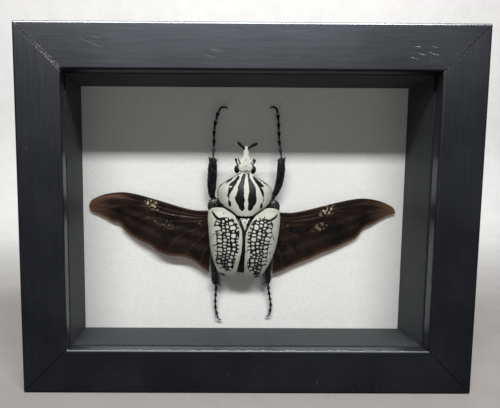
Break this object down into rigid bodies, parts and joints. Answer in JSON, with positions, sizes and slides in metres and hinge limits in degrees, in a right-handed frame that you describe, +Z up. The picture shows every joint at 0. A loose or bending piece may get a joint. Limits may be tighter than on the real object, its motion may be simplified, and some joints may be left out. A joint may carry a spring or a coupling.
{
  "type": "framed beetle",
  "caption": "Horned beetle with patterned wing cases and spread wings, pinned flat on a white card inside a black shadow-box frame behind glass.",
  "frame": {"origin": "middle of the frame's footprint, at the height of the bottom rail's lower face", "axes": "+X to the frame's right as it is looked at, +Y from the glass to the back, +Z up along the frame"},
  "size_m": [0.25, 0.048, 0.2005],
  "materials": {
    "black_paint": "satin black paint",
    "steel": "bright",
    "clear_glass": "clear",
    "white_card": "matt, with a fine grain",
    "fibreboard": "raw hardboard",
    "dark_liner": "matt black paint",
    "ivory_shell": "velvety ivory with black markings",
    "black_shell": "satin black chitin",
    "wing_membrane": "glossy translucent brown membrane"
  },
  "bodies": {
    "root": {"rail_top": "black_paint", "rail_bottom": "black_paint", "rail_left": "black_paint", "rail_right": "black_paint", "glass_pane": "clear_glass", "liner_top": "dark_liner", "liner_bottom": "dark_liner", "liner_left": "dark_liner", "liner_right": "dark_liner", "backing_card": "white_card", "back_board": "fibreboard", "back_tab_1": "steel", "back_tab_2": "steel", "back_tab_3": "steel", "back_tab_4": "steel", "back_tab_5": "steel", "back_tab_6": "steel", "body": "black_shell", "pronotum": "ivory_shell", "head": "ivory_shell", "antenna_left": "black_shell", "antenna_right": "black_shell", "scutellum": "ivory_shell", "elytron_left": "ivory_shell", "elytron_right": "ivory_shell", "hindwing_left": "wing_membrane", "hindwing_right": "wing_membrane", "foreleg_left": "black_shell", "foreleg_right": "black_shell", "midleg_left": "black_shell", "midleg_right": "black_shell", "hindleg_left": "black_shell", "hindleg_right": "black_shell", "wing_pin_left": "steel", "wing_pin_right": "steel"}
  },
  "joints": []
}
